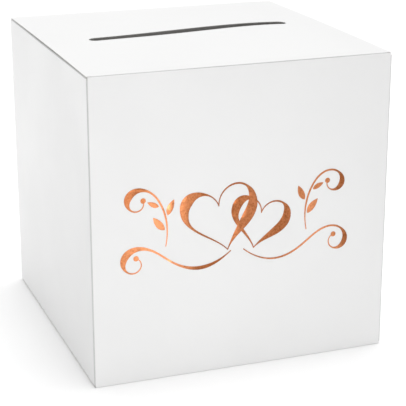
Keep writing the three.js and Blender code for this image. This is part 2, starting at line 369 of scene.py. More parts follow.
@dataclass(frozen=True)
class BoardFinish(Finish):
    """One layer of the board: its colour, how it clouds, how it darkens along the box's edges from wear and
    painted shade, and its fibres.
    """

    name: str
    colour: tuple[float, float, float]
    shade: tuple[float, float, float]
    rough: float
    fibre_scale: float = 900.0
    fibre_depth: float = 0.02 * MM
    rub_and_shade_width: float = 2.5 * MM
    rub_and_shade: float = 0.0
    cloud: float = 0.5
    cloud_range: tuple[float, float] = (0.35, 0.7)
    smoother: float = 0.05
    rougher: float = 0.07
    relief: float = 0.6

    def material(self, patterns: Patterns) -> bpy.types.Material:
        """Makes the layer's material.

        Args:
            patterns: The shared shader groups.

        Returns:
            The material.
        """
        material, tree, shader, place = self.start()
        grain = tree.add("ShaderNodeGroup", node_tree=patterns.grain)
        tree.feed(grain.inputs["Vector"], place)
        grain.inputs["Fibre Scale"].default_value = self.fibre_scale
        wear_and_shade = tree.add("ShaderNodeGroup", node_tree=patterns.wear_and_shade)
        tree.feed(wear_and_shade.inputs["Vector"], place)
        wear_and_shade.inputs["Width"].default_value = self.rub_and_shade_width
        cloud = grain.outputs["Cloud"]
        clouded = tree.math("MULTIPLY", tree.ramp(cloud, *self.cloud_range, 0.0, 1.0), self.cloud)
        # Darkens towards the shade colour along the box's edges: wear on the coated board, painted shade
        # along the folds.
        worn_or_shaded = tree.math("MULTIPLY", wear_and_shade.outputs["Mask"], self.rub_and_shade)
        share = tree.math("MAXIMUM", clouded, worn_or_shaded)
        colour = tree.mix(share, (*self.colour, 1.0), (*self.shade, 1.0))
        ends = (self.rough - self.smoother, self.rough + self.rougher)
        rough = tree.ramp(cloud, NOISE_LOW, NOISE_HIGH, *ends)
        bump = tree.add(
            "ShaderNodeBump",
            {"Strength": self.relief, "Distance": self.fibre_depth, "Height": grain.outputs["Height"]},
        )
        tree.feed(shader.inputs["Base Color"], colour)
        tree.feed(shader.inputs["Roughness"], rough)
        tree.feed(shader.inputs["Normal"], bump.outputs[0])
        return material


@dataclass(frozen=True)
class FoilFinish(Finish):
    """Hot-stamped rose-gold foil: its colour from dark to bright, in slanted bands of painted sheen with a
    real speckle.
    """

    name: str = "rose gold foil"
    dark: tuple[float, float, float] = (0.31, 0.1, 0.034)
    bright: tuple[float, float, float] = (0.75, 0.3, 0.138)
    rough: float = 0.34
    sheen_scale: float = 17.0
    speckle: float = 0.16
    smoother: float = 0.08
    rougher: float = 0.1
    relief: float = 0.5
    peel_depth: float = 0.03 * MM

    def material(self, patterns: Patterns) -> bpy.types.Material:
        """Makes the foil's material.

        Args:
            patterns: The shared shader groups.

        Returns:
            The material.
        """
        material, tree, shader, place = self.start()
        streaks = tree.add("ShaderNodeGroup", node_tree=patterns.foil)
        tree.feed(streaks.inputs["Vector"], place)
        streaks.inputs["Drift Scale"].default_value = self.sheen_scale
        speckle = streaks.outputs["Speckle"]
        grit = tree.ramp(speckle, NOISE_LOW, NOISE_HIGH, -self.speckle, self.speckle)
        # The slanted bands mix the foil's colour from dark to bright as a painted sheen; the speckle on top
        # is grain.
        share = tree.math("ADD", streaks.outputs["Drift"], grit)
        share = tree.add("ShaderNodeClamp", {"Value": share}).outputs[0]
        colour = tree.mix(share, (*self.dark, 1.0), (*self.bright, 1.0))
        ends = (self.rough - self.smoother, self.rough + self.rougher)
        rough = tree.ramp(speckle, NOISE_LOW, NOISE_HIGH, *ends)
        bump = tree.add(
            "ShaderNodeBump",
            {"Strength": self.relief, "Distance": self.peel_depth, "Height": streaks.outputs["Height"]},
        )
        shader.inputs["Metallic"].default_value = 1.0
        tree.feed(shader.inputs["Base Color"], colour)
        tree.feed(shader.inputs["Roughness"], rough)
        tree.feed(shader.inputs["Normal"], bump.outputs[0])
        return material


@dataclass(frozen=True)
class AdhesiveFinish(Finish):
    """Set hot-melt adhesive, amber and a little cloudy."""

    name: str = "hot melt adhesive"
    clear: tuple[float, float, float] = (0.72, 0.6, 0.36)
    cloudy: tuple[float, float, float] = (0.82, 0.75, 0.56)
    rough: float = 0.28
    cloud_scale: float = 160.0

    def material(self, patterns: Patterns) -> bpy.types.Material:
        """Makes the adhesive's material.

        Args:
            patterns: The shared shader groups.

        Returns:
            The material.
        """
        material, tree, shader, place = self.start()
        grain = tree.add("ShaderNodeGroup", node_tree=patterns.grain)
        tree.feed(grain.inputs["Vector"], place)
        grain.inputs["Cloud Scale"].default_value = self.cloud_scale
        colour = tree.mix(grain.outputs["Cloud"], (*self.clear, 1.0), (*self.cloudy, 1.0))
        tree.feed(shader.inputs["Base Color"], colour)
        shader.inputs["Roughness"].default_value = self.rough
        return material


@dataclass(frozen=True)
class CardFinish(Finish):
    """The dull black of a card that keeps light off."""

    name: str = "black card"
    colour: tuple[float, float, float] = (0.02, 0.02, 0.02)
    rough: float = 0.9

    def material(self) -> bpy.types.Material:
        """Makes the card's material.

        Returns:
            The material.
        """
        material, _, shader, _ = self.start()
        shader.inputs["Base Color"].default_value = (*self.colour, 1.0)
        shader.inputs["Roughness"].default_value = self.rough
        return material


@dataclass(frozen=True)
class FloorFinish(Finish):
    """A plain pale floor with a trace of unevenness."""

    name: str = "pale floor"
    colour: tuple[float, float, float] = (0.93, 0.93, 0.93)
    shade: tuple[float, float, float] = (0.916, 0.916, 0.916)
    patch_scale: float = 3.0
    rough: float = 0.85

    def material(self) -> bpy.types.Material:
        """Makes the floor's material.

        Returns:
            The material.
        """
        material, tree, shader, place = self.start()
        tone = tree.ramp(tree.noise(place, self.patch_scale), NOISE_LOW, NOISE_HIGH, 0.0, 1.0)
        tree.feed(shader.inputs["Base Color"], tree.mix(tone, (*self.colour, 1.0), (*self.shade, 1.0)))
        shader.inputs["Roughness"].default_value = self.rough
        return material


class Materials:
    """The materials of the box, made once."""

    def __init__(self) -> None:
        """Makes the shared patterns and then each material."""
        patterns = Patterns()
        coated = BoardFinish(
            name="coated board",
            colour=(0.8, 0.8, 0.798),
            shade=(0.775, 0.775, 0.773),
            rough=0.5,
            rub_and_shade=0.8,
            cloud=0.35,
        )
        plain = BoardFinish(
            name="plain board",
            colour=(0.78, 0.775, 0.762),
            shade=(0.75, 0.743, 0.728),
            rough=0.82,
            fibre_scale=520.0,
            fibre_depth=0.05 * MM,
            cloud=0.6,
        )
        core = BoardFinish(
            name="board core",
            colour=(0.76, 0.755, 0.74),
            shade=(0.68, 0.67, 0.65),
            rough=0.9,
            fibre_scale=2600.0,
            fibre_depth=0.06 * MM,
            cloud=0.9,
        )
        # The fold's coating is much darker than the coated board, and darkest along the box's edges: painted
        # shade in the creases.
        fold = BoardFinish(
            name="folded coating",
            colour=(0.62, 0.62, 0.617),
            shade=(0.5, 0.5, 0.495),
            rough=0.6,
            fibre_scale=1500.0,
            fibre_depth=0.05 * MM,
            rub_and_shade_width=4 * MM,
            rub_and_shade=0.9,
            cloud=0.5,
        )
        self.coated, self.plain, self.core, self.fold = (
            finish.material(patterns) for finish in (coated, plain, core, fold)
        )
        self.foil = FoilFinish().material(patterns)
        self.adhesive = AdhesiveFinish().material(patterns)

    def layers(self, folded: bool = False) -> dict[str, bpy.types.Material]:
        """The materials of a sheet by the names of its layers, in their order.

        Args:
            folded: Whether the sheet is a fold, whose coating is darker with painted shade.

        Returns:
            The coated, plain and core materials.
        """
        made = (self.fold if folded else self.coated, self.plain, self.core)
        return {layer.name.capitalize(): made[layer.value] for layer in Layer}


# ------------------------------------------------------------------------------------------- geometry


@dataclass(frozen=True)
class Bow:
    """How far a panel stands out of its plane: most near the middle and nothing along its held edges.

    Height is at the crown, lean moves the crown along the width as a share of the half width, and ends and
    sides are the shares of the bow that remain along the edges that nothing holds.
    """

    height: float = 0.0
    lean: float = 0.0
    ends: float = 0.0
    sides: float = 0.0

    def at(self, u: float, v: float) -> float:
        """How far the panel stands out at one place.

        Args:
            u: The place along the width, as a share of the half width.
            v: The place along the height, as a share of the half height.

        Returns:
            The height there.
        """
        u, v = max(-1.0, min(1.0, u)), max(-1.0, min(1.0, v))
        across = self.sides + (1 - self.sides) * math.cos(math.pi / 2 * (u - self.lean * (1 - u * u)))
        along = self.ends + (1 - self.ends) * math.cos(math.pi / 2 * v)
        return self.height * across * along

    def inputs(self) -> dict[str, float]:
        """The same sizes under the names that the geometry trees give them."""
        return {"Bow": self.height, "Lean": self.lean, "Ends": self.ends, "Sides": self.sides}


@dataclass(frozen=True)
class Lip:
    """How the front lip of a slot sags below the lid's bow, most at the middle of the slot."""

    sag: float = 0.7 * MM
    half_length: float = 84 * MM
    half_width: float = 5.5 * MM
    fade: float = 70 * MM

    def at(self, x: float, y: float) -> float:
        """How far the lip sags at one place.

        Args:
            x: The place along the slot, from its middle.
            y: The place across the slot, from its middle, with the front below zero.

        Returns:
            The sag there, which is zero behind the slot.
        """
        if y > 0 or abs(x) > self.half_length:
            return 0.0
        ahead = min(1.0, max(0.0, (-y - self.half_width) / self.fade))
        return self.sag * (math.cos(math.pi / 2 * x / self.half_length) * (1 - ahead)) ** 2


@dataclass(frozen=True)
class Facing:
    """A plane that a sheet lies in: its middle, its two directions and the way that its coating faces."""

    middle: Vector
    across: Vector
    along: Vector

    @property
    def out(self) -> Vector:
        """The direction that the coated side faces."""
        return self.across.cross(self.along)

    def matrix(self) -> Matrix:
        """Carries a shape drawn on the XY plane, coated side up, to this plane."""
        columns = (self.across, self.along, self.out, self.middle)
        return Matrix([[c[i] for c in columns] for i in range(3)] + [[0.0, 0.0, 0.0, 1.0]])


class SolidTree:
    """A geometry tree that makes one solid mesh."""

    group: Tree

    def run(self, name: str, inputs: dict[str, Value]) -> bpy.types.Mesh:
        """Runs the tree and takes its result.

        Args:
            name: The mesh's name.
            inputs: The tree's inputs by name.

        Returns:
            A plain mesh, with the modifier gone.
        """
        start = bpy.data.meshes.new(name + "_start")
        carrier = bpy.data.objects.new(name + "_carrier", start)
        bpy.context.scene.collection.objects.link(carrier)
        modifier = carrier.modifiers.new("shape", "NODES")
        modifier.node_group = self.group.tree
        for item in self.group.tree.interface.items_tree:
            if item.in_out == "INPUT" and item.name in inputs:
                modifier[item.identifier] = inputs[item.name]
        made = bpy.data.meshes.new_from_object(carrier.evaluated_get(bpy.context.evaluated_depsgraph_get()))
        made.name = name
        carrier.modifiers.remove(modifier)
        bpy.data.objects.remove(carrier)
        bpy.data.meshes.remove(start)
        return made


class BoardTree(SolidTree):
    """A geometry tree for a piece of board: a slab on a grid, shaped by a rule of its own."""

    name = "Board"

    def __init__(self) -> None:
        """Builds the tree: a closed slab, its shape, and then its three layers' materials."""
        group = self.group = Tree.group(self.name, TreeKind.GEOMETRY)
        group.takes("Geometry", SocketKind.GEOMETRY)
        self.width = group.takes("Width", SocketKind.FLOAT, 2 * Board.half_side)
        self.height = group.takes("Height", SocketKind.FLOAT, 2 * Board.half_side)
        self.thickness = group.takes("Thickness", SocketKind.FLOAT, Board.thickness)
        counts = [group.takes(name, SocketKind.INT, 2) for name in ("Columns", "Rows")]
        self.more_inputs()
        layers = [group.takes(layer.name.capitalize(), SocketKind.MATERIAL) for layer in Layer]
        capture = group.add("GeometryNodeCaptureAttribute", {"Geometry": self.slab(*counts)}, domain="FACE")
        capture.capture_items.new("FLOAT", "Depth")
        self.place = group.add("GeometryNodeInputPosition").outputs[0]
        self.x, self.y, self.z = group.add("ShaderNodeSeparateXYZ", {0: self.place}).outputs
        group.feed(capture.inputs["Depth"], self.z)
        moved = {"Geometry": capture.outputs[0], "Position": self.rule()}
        shaped = group.add("GeometryNodeSetPosition", moved)
        solid = group.add("GeometryNodeRealizeInstances", {"Geometry": shaped.outputs[0]}).outputs[0]
        group.gives(Geometry=self.dress(solid, capture.outputs["Depth"], layers))

    def slab(self, columns: bpy.types.NodeSocket, rows: bpy.types.NodeSocket) -> bpy.types.NodeSocket:
        """A closed flat slab that lies on z = 0.

        Args:
            columns: How many points it has along its width.
            rows: How many points it has along its height.

        Returns:
            The socket with the slab.
        """
        group = self.group
        inputs = {"Size X": self.width, "Size Y": self.height, "Vertices X": columns, "Vertices Y": rows}
        grid = group.add("GeometryNodeMeshGrid", inputs).outputs[0]
        raised = group.add(
            "GeometryNodeExtrudeMesh",
            {"Mesh": grid, "Offset Scale": self.thickness, "Individual": False},
            mode="FACES",
        ).outputs["Mesh"]
        under = group.add("GeometryNodeFlipFaces", {"Mesh": grid}).outputs[0]
        both = group.add("GeometryNodeJoinGeometry")
        for part in (under, raised):
            group.tree.links.new(part, both.inputs[0])
        welded = group.add("GeometryNodeMergeByDistance", {"Geometry": both.outputs[0], "Distance": WELD})
        return welded.outputs[0]

    def dress(
        self, solid: bpy.types.NodeSocket, depth: bpy.types.NodeSocket, layers: list[bpy.types.NodeSocket]
    ) -> bpy.types.NodeSocket:
        """Sets the three layers' materials.

        Args:
            solid: The shaped board.
            depth: How high each face lay in the flat slab.
            layers: The layers' materials in order.

        Returns:
            The socket with the dressed board.
        """
        group = self.group
        middle = group.math("MULTIPLY", self.thickness, 0.5)
        sliver = group.math("MULTIPLY", self.thickness, 0.1)
        where = {
            Layer.CORE: True,
            Layer.PLAIN: group.math("LESS_THAN", depth, sliver),
            Layer.COATED: group.math("GREATER_THAN", depth, group.math("ADD", middle, sliver)),
        }
        for layer, selection in where.items():
            inputs = {"Geometry": solid, "Selection": selection, "Material": layers[layer.value]}
            solid = group.add("GeometryNodeSetMaterial", inputs).outputs[0]
        return solid

    def more_inputs(self) -> None:
        """Adds the inputs that the rule needs."""

    def rule(self) -> bpy.types.NodeSocket:
        """The place of each point of the shaped board."""
        raise NotImplementedError


class BowedWallTree(BoardTree):
    """A rectangular panel that bows out of its plane."""

    name = "Bowed wall"

    def more_inputs(self) -> None:
        """Adds the sizes of the bow."""
        sizes = [self.group.takes(name, SocketKind.FLOAT, 0.0) for name in Bow().inputs()]
        self.bow, self.lean, self.ends, self.sides = sizes

    def rule(self) -> bpy.types.NodeSocket:
        """Raises each point by the same rule as Bow, with the slab's mid-plane on the panel's own.

        Returns:
            The socket with the place of each point.
        """
        g = self.group
        u = g.math("DIVIDE", self.x, g.math("MULTIPLY", self.width, 0.5))
        v = g.math("DIVIDE", self.y, g.math("MULTIPLY", self.height, 0.5))
        rest = g.math("SUBTRACT", 1.0, g.math("MULTIPLY", u, u))
        leaning = g.math("SUBTRACT", u, g.math("MULTIPLY", self.lean, rest))
        raised = self.bow
        for way, free in ((leaning, self.sides), (v, self.ends)):
            held = g.math("COSINE", g.math("MULTIPLY", way, math.pi / 2))
            share = g.math("MULTIPLY_ADD", g.math("SUBTRACT", 1.0, free), held, free)
            raised = g.math("MULTIPLY", raised, share)
        centred = g.math("SUBTRACT", self.z, g.math("MULTIPLY", self.thickness, 0.5))
        lifted = g.math("ADD", centred, raised)
        return g.add("ShaderNodeCombineXYZ", {"X": self.x, "Y": self.y, "Z": lifted}).outputs[0]


class RoundFoldTree(BoardTree):
    """The rounded strip of board in a fold, with the raised bead that creasing leaves on its inside."""

    name = "Round fold"
    waver_scale = 90.0

    def more_inputs(self) -> None:
        """Adds the fold's inner radius, how far it turns, and its bead and waver."""
        self.radius = self.group.takes("Inner Radius", SocketKind.FLOAT, 0.3 * MM)
        self.turn = self.group.takes("Turn", SocketKind.FLOAT, math.pi / 2)
        self.bead = self.group.takes("Bead", SocketKind.FLOAT, 0.0)
        self.waver = self.group.takes("Waver", SocketKind.FLOAT, 0.0)

    def rule(self) -> bpy.types.NodeSocket:
        """Wraps the slab's width round the fold's axis, which is the Y axis, from +X towards +Z.

        Returns:
            The socket with the place of each point.
        """
        g = self.group
        share = g.math("SUBTRACT", 0.5, g.math("DIVIDE", self.x, self.width))
        angle = g.math("MULTIPLY", share, self.turn)
        middle = g.math("SINE", g.math("MULTIPLY", share, math.pi))
        inwards = g.math("SUBTRACT", 1.0, g.math("DIVIDE", self.z, self.thickness))
        bead = g.math("MULTIPLY", g.math("MULTIPLY", middle, inwards), self.bead)
        noise = g.noise(g.vector("MULTIPLY", self.place, (0.0, 1.0, 0.0)), self.waver_scale)
        waver = g.math("MULTIPLY", g.math("MULTIPLY", g.math("SUBTRACT", noise, 0.5), middle), self.waver)
        radius = g.math("ADD", g.math("ADD", self.radius, self.z), g.math("SUBTRACT", waver, bead))
        x = g.math("MULTIPLY", radius, g.math("COSINE", angle))
        z = g.math("MULTIPLY", radius, g.math("SINE", angle))
        return g.add("ShaderNodeCombineXYZ", {"X": x, "Y": self.y, "Z": z}).outputs[0]


class GlueBeadTree(SolidTree):
    """A row of pressed beads of adhesive, each a little different."""

    segments = 14
    rings = 7
    least = (0.8, 1.0, 0.9)
    most = (1.15, 1.0, 1.5)

    def __init__(self) -> None:
        """Builds the tree: one flattened ball, put at every point of an upright row."""
        group = self.group = Tree.group("Glue beads", TreeKind.GEOMETRY)
        group.takes("Geometry", SocketKind.GEOMETRY)
        length = group.takes("Length", SocketKind.FLOAT, 0.2)
        count = group.takes("Count", SocketKind.INT, 20)
        radius = group.takes("Bead Radius", SocketKind.FLOAT, 3 * MM)
        thickness = group.takes("Thickness", SocketKind.FLOAT, 0.2 * MM)
        seed = group.takes("Seed", SocketKind.INT, 4)
        material = group.takes("Adhesive", SocketKind.MATERIAL)
        half = group.math("MULTIPLY", length, 0.5)
        low = group.add("ShaderNodeCombineXYZ", {"Z": group.math("MULTIPLY", half, -1.0)}).outputs[0]
        high = group.add("ShaderNodeCombineXYZ", {"Z": half}).outputs[0]
        row = group.add(
            "GeometryNodeMeshLine", {"Count": count, "Start Location": low, "Offset": high}, mode="END_POINTS"
        ).outputs[0]
        shape = {"Segments": self.segments, "Rings": self.rings, "Radius": 1.0}
        ball = group.add("GeometryNodeMeshUVSphere", shape).outputs[0]
        flat = group.math("MULTIPLY", thickness, 0.5)
        scale = group.add("ShaderNodeCombineXYZ", {"X": radius, "Y": flat, "Z": radius}).outputs[0]
        bead = group.add("GeometryNodeTransform", {"Geometry": ball, "Scale": scale}).outputs[0]
        limits = {0: self.least, 1: self.most, "Seed": seed}
        vary = group.add("FunctionNodeRandomValue", data_type="FLOAT_VECTOR")
        for key, value in limits.items():
            group.feed(vary.inputs[key], value)
        beads = group.add(
            "GeometryNodeInstanceOnPoints", {"Points": row, "Instance": bead, "Scale": vary.outputs[0]}
        ).outputs[0]
        solid = group.add("GeometryNodeRealizeInstances", {"Geometry": beads}).outputs[0]
        dressed = group.add("GeometryNodeSetMaterial", {"Geometry": solid, "Material": material})
        group.gives(Geometry=dressed.outputs[0])


@contextmanager
def opened(mesh: bpy.types.Mesh) -> Iterator[bmesh.types.BMesh]:
    """Opens a mesh for changes and saves them at the end.

    Args:
        mesh: The mesh.

    Yields:
        Its corners, edges and faces.
    """
    working = bmesh.new()
    working.from_mesh(mesh)
    yield working
    working.to_mesh(mesh)
    working.free()


def ease_edges(mesh: bpy.types.Mesh, radius: float, raw: Callable[[Vector], bool]) -> None:
    """Rounds the sharp edges of a sheet where it was cut.

    Args:
        mesh: The sheet.
        radius: The size of the rounding.
        raw: Whether a place is on a cut edge, and not on a crease.
    """
    with opened(mesh) as working:
        sharp = [
            edge
            for edge in working.edges
            if len(edge.link_faces) == 2
            and edge.calc_face_angle() > SHARP_CUT
            and all(raw(corner.co) for corner in edge.verts)
        ]
        bmesh.ops.bevel(
            working, geom=sharp, offset=radius, segments=2, profile=0.5, affect="EDGES", clamp_overlap=True
        )


def cut_grid(mesh: bpy.types.Mesh, axes: Iterable[Vector], step: float) -> None:
    """Cuts a mesh along evenly spaced planes, so that it can be bowed between its outlines.

    Args:
        mesh: The mesh.
        axes: The planes' directions.
        step: The distance between planes.
    """
    with opened(mesh) as working:
        for axis in axes:
            reach = [corner.co.dot(axis) for corner in working.verts]
            for i in range(math.ceil(min(reach) / step), math.floor(max(reach) / step) + 1):
                geometry = working.verts[:] + working.edges[:] + working.faces[:]
                place = axis * (i + GRID_START) * step
                bmesh.ops.bisect_plane(working, geom=geometry, plane_co=place, plane_no=axis, dist=ON_PLANE)


def flat_copy(node: str) -> bpy.types.Mesh:
    """A copy of a CAD node's mesh with its triangles joined into flat faces.

    Args:
        node: The node's name.

    Returns:
        The copy, without materials.
    """
    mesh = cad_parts[node].data.copy()
    mesh.materials.clear()
    with opened(mesh) as working:
        bmesh.ops.remove_doubles(working, verts=working.verts[:], dist=WELD)
        edges = [e for e in working.edges if e.is_manifold and e.calc_face_angle() < FLAT_JOIN]
        bmesh.ops.dissolve_edges(working, edges=edges, use_verts=False, use_face_split=False)
    return mesh


# --------------------------------------------------------------------------------------------- pieces


@dataclass(frozen=True)
class Panel:
    """A panel of board between creases.

    Node is the CAD node that it stands for and body the one that it rides on. Raw says whether a place on
    its outline is a cut edge.
    """

    node: str
    body: str
    facing: Facing
    raw: Callable[[Vector], bool]
    bow: Bow = Bow()
    lip: Lip | None = None


@dataclass(frozen=True)
class Fold:
    """A rounded fold between two flat panels.

    The panels' ends point from the fold's centre along first and second, and the fold runs between low and
    high along its axis. Turn is how far the board turns in it, and bodies are what the ends ride on.
    """

    name: str
    centre: Vector
    first: Vector
    second: Vector
    low: float
    high: float
    bodies: tuple[str, ...] = ("sleeve",)
    turn: float = math.pi / 2
    bead: float = 0.12 * MM
    waver: float = 0.05 * MM

    @property
    def facing(self) -> Facing:
        """Where the fold lies.

        Returns:
            The middle of its length, the radius at its start, and its axis.
        """
        axis = self.second.cross(self.first)
        along = Vector([abs(part) for part in axis.normalized()])
        return Facing(self.centre + along * (self.low + self.high) / 2, self.first, axis)


@dataclass(frozen=True)
class Workshop:
    """Makes finished pieces of board, foil and adhesive.

    Easing is the rounding of cut edges, a cell is the distance between cuts in a panel that bows, sharp is
    the turn above which an edge isn't smoothed, and side_on is how squarely a face has to face outwards or
    inwards to belong to that side of the sheet.
    """

    materials: Materials
    easing: float = 0.12 * MM
    cell: float = 10 * MM
    fold_cell: float = 5 * MM
    fold_columns: int = 9
    sharp: float = math.radians(20.0)
    side_on: float = 0.7
    walls: BowedWallTree = field(default_factory=BowedWallTree)
    folds: RoundFoldTree = field(default_factory=RoundFoldTree)
    beads: GlueBeadTree = field(default_factory=GlueBeadTree)

    def finish(self, name: str, mesh: bpy.types.Mesh, slot: str) -> bpy.types.Object:
        """An object at the origin with the mesh, smooth where its faces run on.

        Args:
            name: The piece's name.
            mesh: Its mesh, in place.
            slot: The record's material slot for its finish. It is not used.

        Returns:
            The object, which doesn't ride on a body yet.
        """
        mesh.polygons.foreach_set("use_smooth", [True] * len(mesh.polygons))
        mesh.set_sharp_from_angle(angle=self.sharp)
        made = bpy.data.objects.new(name, mesh)
        bpy.context.scene.collection.objects.link(made)
        log.info("%s: %d faces", name, len(mesh.polygons))
        return made

    def wall(self, panel: Panel) -> bpy.types.Object:
        """Makes a rectangular panel, which a geometry tree bows.

        Args:
            panel: The panel.

        Returns:
            Its object, on its body.
        """
        low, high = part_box(panel.node)
        facing = panel.facing
        width, height = (abs((high - low).dot(way)) for way in (facing.across, facing.along))
        counts = {"Columns": round(width / self.cell) + 1, "Rows": round(height / self.cell) + 1}
        sizes = {"Width": width, "Height": height, "Thickness": Board.thickness}
        inputs = sizes | counts | panel.bow.inputs() | self.materials.layers()
        mesh = self.walls.run(panel.node, inputs)
        mesh.transform(facing.matrix())
        ease_edges(mesh, self.easing, panel.raw)
        return self.seat(panel, mesh)

    def flap(self, panel: Panel) -> bpy.types.Object:
        """Makes a panel of any outline: the CAD node's own, cut into cells, eased and bowed.

        Args:
            panel: The panel.

        Returns:
            Its object, on its body.
        """
        mesh = flat_copy(panel.node)
        facing = panel.facing
        cut_grid(mesh, (facing.across, facing.along), self.cell)
        ease_edges(mesh, self.easing, panel.raw)
        low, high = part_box(panel.node)
        middle, half = (low + high) / 2, (high - low) / 2
        reach = [abs(half.dot(way)) for way in (facing.across, facing.along)]
        for corner in mesh.vertices:
            offset = corner.co - middle
            u, v = offset.dot(facing.across) / reach[0], offset.dot(facing.along) / reach[1]
            sag = panel.lip.at(corner.co.x, corner.co.y) if panel.lip else 0.0
            corner.co += facing.out * (panel.bow.at(u, v) - sag)
        for material in self.materials.layers().values():
            mesh.materials.append(material)
        for face in mesh.polygons:
            turned = face.normal.dot(facing.out)
            if abs(turned) < self.side_on:
                face.material_index = Layer.CORE.value
            else:
                face.material_index = (Layer.COATED if turned > 0 else Layer.PLAIN).value
        return self.seat(panel, mesh)

    def seat(self, panel: Panel, mesh: bpy.types.Mesh) -> bpy.types.Object:
        """Finishes a panel, sets it on its body and lets it stand for its CAD node.

        Args:
            panel: The panel.
            mesh: Its mesh, in place.

        Returns:
            Its object.
        """
        made = self.finish(panel.node + "_board", mesh, "white_board")
        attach(made, panel.body)
        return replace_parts(made, panel.node)

    def fold(self, fold: Fold) -> bpy.types.Object:
        """Makes a rounded fold, on its body if both its ends ride on one, and on no body otherwise.

        Args:
            fold: The fold.

        Returns:
            Its object, on its body, or with its place baked into its mesh.
        """
        middle = Board.setback / math.tan(fold.turn / 2)
        length = fold.high - fold.low
        inputs = {
            "Width": middle * fold.turn,
            "Height": length,
            "Thickness": Board.thickness,
            "Columns": self.fold_columns,
            "Rows": round(length / self.fold_cell) + 1,
            "Inner Radius": middle - Board.thickness / 2,
            "Turn": fold.turn,
            "Bead": fold.bead,
            "Waver": fold.waver,
        }
        mesh = self.folds.run(fold.name, inputs | self.materials.layers(folded=True))
        mesh.transform(fold.facing.matrix())
        made = self.finish(fold.name, mesh, "white_board")
        if len(fold.bodies) == 1:
            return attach(made, fold.bodies[0])
        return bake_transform(made)


def all_raw(place: Vector) -> bool:
    """For a piece that is cut all round."""
    return True


def none_raw(place: Vector) -> bool:
    """For a panel with a crease on every side."""
    return False


def beyond(way: Vector, limit: float) -> Callable[[Vector], bool]:
    """For a piece that is cut where it lies beyond a limit along a direction."""
    return lambda place: place.dot(way) > limit


def within(way: Vector, low: float, high: float) -> Callable[[Vector], bool]:
    """For a panel that is cut where it lies between two limits along a direction."""
    return lambda place: low < place.dot(way) < high


def middle_of(node: str) -> Vector:
    """The middle of a CAD node."""
    low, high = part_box(node)
    return (low + high) / 2


X, Y, Z = (Vector(axis) for axis in ((1, 0, 0), (0, 1, 0), (0, 0, 1)))


@dataclass(frozen=True)
class Sleeve:
    """The four walls, the folds between them and the glued seam at the right back corner."""

    workshop: Workshop
    fold_low: float = 2 * Board.depth
    fold_high: float = 2 * (Board.half_side - Board.depth)
    seam_low: float = 5 * MM
    seam_high: float = 235 * MM
    front: Bow = Bow(height=0.9 * MM, lean=0.45, ends=0.8)
    side: Bow = Bow(height=0.9 * MM)
    back: Bow = Bow(height=0.8 * MM, lean=-0.1)
    beads: int = 21
    bead_radius: float = 3.0 * MM
    adhesive_length: float = 197 * MM
    adhesive_thickness: float = 0.2 * MM
    bead_seed: int = 4

    def build(self) -> None:
        """Makes the walls, the folds, and then the seam."""
        self.walls()
        self.corners()
        self.glued_seam()

    def walls(self) -> None:
        """The four walls. The front is cut at its top and bottom, and the back at its right end."""
        back_is_raw = beyond(X, Board.half_side - Board.thickness / 2)
        ways = {
            "front_wall": (X, self.front, self.front_is_raw),
            "left_wall": (-Y, self.side, none_raw),
            "right_wall": (Y, self.side, none_raw),
            "back_wall": (-X, self.back, back_is_raw),
        }
        for node, (across, bow, raw) in ways.items():
            self.workshop.wall(Panel(node, "sleeve", Facing(middle_of(node), across, Z), raw, bow))

    @staticmethod
    def front_is_raw(place: Vector) -> bool:
        """Whether a place is at the top or bottom of the front wall."""
        low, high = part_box("front_wall")
        return not low.z + SLACK <= place.z <= high.z - SLACK

    def corners(self) -> None:
        """The three folds between walls and the one beside the glue flap."""
        c, low, high = Board.crease, self.fold_low, self.fold_high
        folds = (
            Fold("fold_front_left", Vector((-c, -c, 0)), -Y, -X, low, high),
            Fold("fold_front_right", Vector((c, -c, 0)), X, -Y, low, high),
            Fold("fold_back_left", Vector((-c, c, 0)), -X, Y, low, high),
            Fold("fold_glue_flap", Vector((c, Board.one_in, 0)), Y, X, self.seam_low, self.seam_high),
        )
        for fold in folds:
            self.workshop.fold(fold)

    def glued_seam(self) -> None:
        """The glue flap and the row of pressed adhesive beads that holds it."""
        facing = Facing(middle_of("glue_flap"), -X, Z)
        self.workshop.flap(Panel("glue_flap", "sleeve", facing, beyond(-X, SLACK - Board.crease)))
        inputs = {
            "Length": self.adhesive_length,
            "Count": self.beads,
            "Bead Radius": self.bead_radius,
            "Thickness": self.adhesive_thickness,
            "Seed": self.bead_seed,
            "Adhesive": self.workshop.materials.adhesive,
        }
        mesh = self.workshop.beads.run("adhesive_beads", inputs)
        mesh.transform(Matrix.Translation(middle_of("seam_adhesive")))
        made = self.workshop.finish("adhesive_beads", mesh, "adhesive")
        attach(made, "sleeve")
        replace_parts(made, "seam_adhesive")


class End(Enum):
    """The two ends of the box and the way that each faces."""

    LID = 1
    BASE = -1


